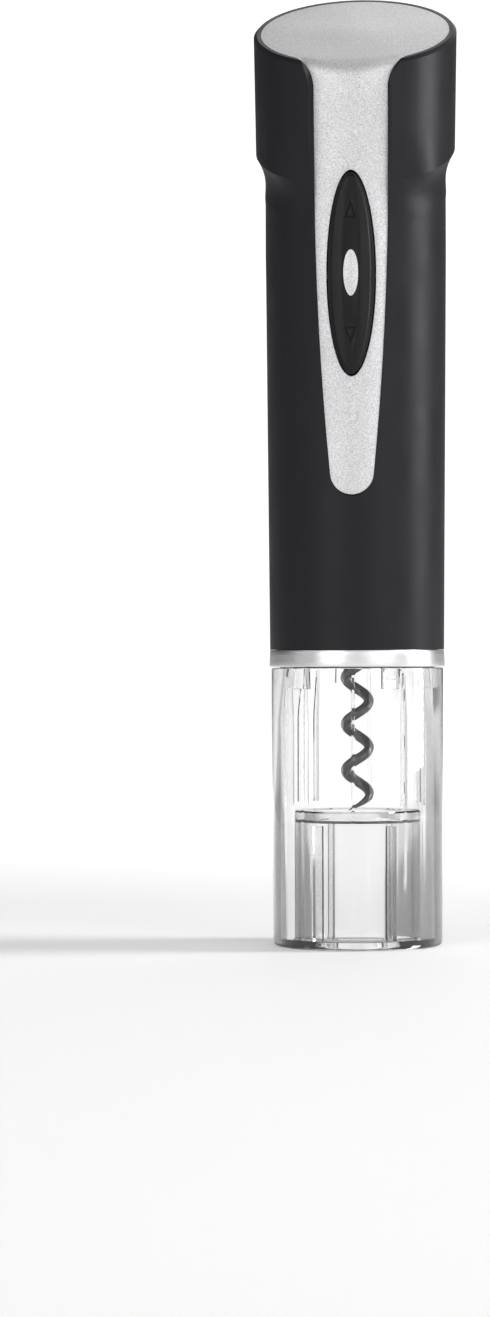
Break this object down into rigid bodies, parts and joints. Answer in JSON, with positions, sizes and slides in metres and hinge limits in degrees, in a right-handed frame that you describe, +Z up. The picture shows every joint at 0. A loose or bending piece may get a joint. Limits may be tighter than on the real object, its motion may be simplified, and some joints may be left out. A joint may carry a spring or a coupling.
{
  "type": "electric wine opener",
  "caption": "Tall round cordless wine opener: slanted head, silver trim with a long rocker button, and a clear sleeve round a motor-driven worm.",
  "frame": {"origin": "centre of the clear sleeve's bottom rim, on the surface that the opener stands on", "axes": "+Z up along the axis of the body and worm, front with the rocker button towards -Y, +X to the right as seen from the front"},
  "size_m": [0.0588, 0.0571, 0.279],
  "materials": {
    "soft_black": "soft-touch coat with a faint fine grain",
    "button_black": "smooth satin",
    "silver_paint": "silver metallic paint with a fine sparkle",
    "satin_metal": "satin plated",
    "clear_plastic": "clear polycarbonate",
    "worm_steel": "dark polished steel with a non-stick coat",
    "steel": "plain machined",
    "laminations": "stacked laminations",
    "ferrite": "sintered",
    "brass": "plain",
    "brass_bush": "sintered bronze",
    "dark_plastic": "moulded",
    "grey_plastic": "glass-filled nylon",
    "white_plastic": "moulded acetal",
    "circuit_board": "green solder mask",
    "cell_wrap": "shrink sleeve",
    "red_wire": "insulation",
    "black_wire": "insulation"
  },
  "bodies": {
    "body": {"body_shell": "soft_black", "top_trim": "silver_paint", "trim_ring": "satin_metal", "bayonet_collar": "dark_plastic", "carriage_bush": "brass_bush", "guide_sleeve": "white_plastic", "chassis_left": "dark_plastic", "chassis_right": "dark_plastic", "chassis_screws": "steel", "gearbox_housing": "grey_plastic", "motor_plate": "steel", "gearbox_screws": "steel", "spindle_bush": "brass_bush", "motor_can": "steel", "motor_magnets": "ferrite", "motor_end_cap": "dark_plastic", "motor_terminals": "brass", "button_frame": "dark_plastic", "rocker_pin": "steel", "switch_board": "circuit_board", "switch_bodies": "dark_plastic", "battery_holder": "dark_plastic", "aa_cells": "cell_wrap", "contact_plates": "steel", "contact_springs": "steel", "motor_leads": "red_wire", "battery_leads": "black_wire"},
    "cover": {"battery_cover": "soft_black"},
    "sleeve": {"clear_sleeve": "clear_plastic", "neck_guide": "clear_plastic"},
    "rocker": {"rocker_button": "button_black", "button_inlay": "silver_paint"},
    "upper_switch": {"upper_plunger": "white_plastic"},
    "lower_switch": {"lower_plunger": "white_plastic"},
    "rotor": {"motor_shaft": "steel", "motor_armature": "laminations", "motor_pinion": "brass"},
    "stage_one": {"first_carrier": "white_plastic"},
    "spindle": {"output_carrier": "steel", "hex_spindle": "steel"},
    "carriage": {"worm_carriage": "grey_plastic", "worm": "worm_steel", "worm_cross_pin": "steel", "follower_pins": "steel"},
    "upper_planet_body_1": {"upper_planet_1": "white_plastic"},
    "lower_planet_body_1": {"lower_planet_1": "white_plastic"},
    "upper_planet_body_2": {"upper_planet_2": "white_plastic"},
    "lower_planet_body_2": {"lower_planet_2": "white_plastic"},
    "upper_planet_body_3": {"upper_planet_3": "white_plastic"},
    "lower_planet_body_3": {"lower_planet_3": "white_plastic"}
  },
  "joints": [
    {"name": "motor_spin", "type": "hinge", "parent": "body", "child": "rotor", "pos_m": [0, 0, 0.175], "axis": [0, 0, -1], "range_deg": [0, 24750]},
    {"name": "first_carrier_spin", "type": "hinge", "parent": "body", "child": "stage_one", "pos_m": [0, 0, 0.153], "axis": [0, 0, -1], "range_deg": [0, 4950]},
    {"name": "spindle_spin", "type": "hinge", "parent": "body", "child": "spindle", "pos_m": [0, 0, 0.145], "axis": [0, 0, -1], "range_deg": [0, 990]},
    {"name": "worm_feed", "type": "slide", "parent": "spindle", "child": "carriage", "axis": [0, 0, -1], "range_m": [0, 0.03575]},
    {"name": "upper_planet_1_spin", "type": "hinge", "parent": "stage_one", "child": "upper_planet_body_1", "pos_m": [0.0105, 0, 0.1573], "axis": [0, 0, -1], "range_deg": [-13200, 0]},
    {"name": "lower_planet_1_spin", "type": "hinge", "parent": "spindle", "child": "lower_planet_body_1", "pos_m": [0.0105, 0, 0.1488], "axis": [0, 0, -1], "range_deg": [-2640, 0]},
    {"name": "upper_planet_2_spin", "type": "hinge", "parent": "stage_one", "child": "upper_planet_body_2", "pos_m": [-0.00525, 0.00909, 0.1573], "axis": [0, 0, -1], "range_deg": [-13200, 0]},
    {"name": "lower_planet_2_spin", "type": "hinge", "parent": "spindle", "child": "lower_planet_body_2", "pos_m": [-0.00525, 0.00909, 0.1488], "axis": [0, 0, -1], "range_deg": [-2640, 0]},
    {"name": "upper_planet_3_spin", "type": "hinge", "parent": "stage_one", "child": "upper_planet_body_3", "pos_m": [-0.00525, -0.00909, 0.1573], "axis": [0, 0, -1], "range_deg": [-13200, 0]},
    {"name": "lower_planet_3_spin", "type": "hinge", "parent": "spindle", "child": "lower_planet_body_3", "pos_m": [-0.00525, -0.00909, 0.1488], "axis": [0, 0, -1], "range_deg": [-2640, 0]},
    {"name": "rocker_tilt", "type": "hinge", "parent": "body", "child": "rocker", "pos_m": [0, -0.019, 0.1917], "axis": [1, 0, 0], "range_deg": [-3, 3], "stiffness_Nm_per_rad": 0.6},
    {"name": "upper_plunger_press", "type": "slide", "parent": "body", "child": "upper_switch", "axis": [0, 1, 0], "range_m": [-0.00085, 0.00085]},
    {"name": "lower_plunger_press", "type": "slide", "parent": "body", "child": "lower_switch", "axis": [0, 1, 0], "range_m": [-0.00085, 0.00085]},
    {"name": "cover_release", "type": "slide", "parent": "body", "child": "cover", "axis": [0, 1, 0], "range_m": [0, 0.02]},
    {"name": "sleeve_twist", "type": "hinge", "parent": "body", "child": "sleeve", "pos_m": [0, 0, 0.085], "axis": [0, 0, 1], "range_deg": [0, 20]}
  ],
  "couplings": [
    {"joint": "first_carrier_spin", "follows": "motor_spin", "ratio": 0.2},
    {"joint": "spindle_spin", "follows": "motor_spin", "ratio": 0.04},
    {"joint": "worm_feed", "follows": "motor_spin", "m_per_rad": 0.000082761},
    {"joint": "upper_planet_1_spin", "follows": "motor_spin", "ratio": -0.53333},
    {"joint": "lower_planet_1_spin", "follows": "motor_spin", "ratio": -0.10667},
    {"joint": "upper_planet_2_spin", "follows": "motor_spin", "ratio": -0.53333},
    {"joint": "lower_planet_2_spin", "follows": "motor_spin", "ratio": -0.10667},
    {"joint": "upper_planet_3_spin", "follows": "motor_spin", "ratio": -0.53333},
    {"joint": "lower_planet_3_spin", "follows": "motor_spin", "ratio": -0.10667},
    {"joint": "upper_plunger_press", "follows": "rocker_tilt", "m_per_rad": -0.016},
    {"joint": "lower_plunger_press", "follows": "rocker_tilt", "m_per_rad": 0.016}
  ]
}
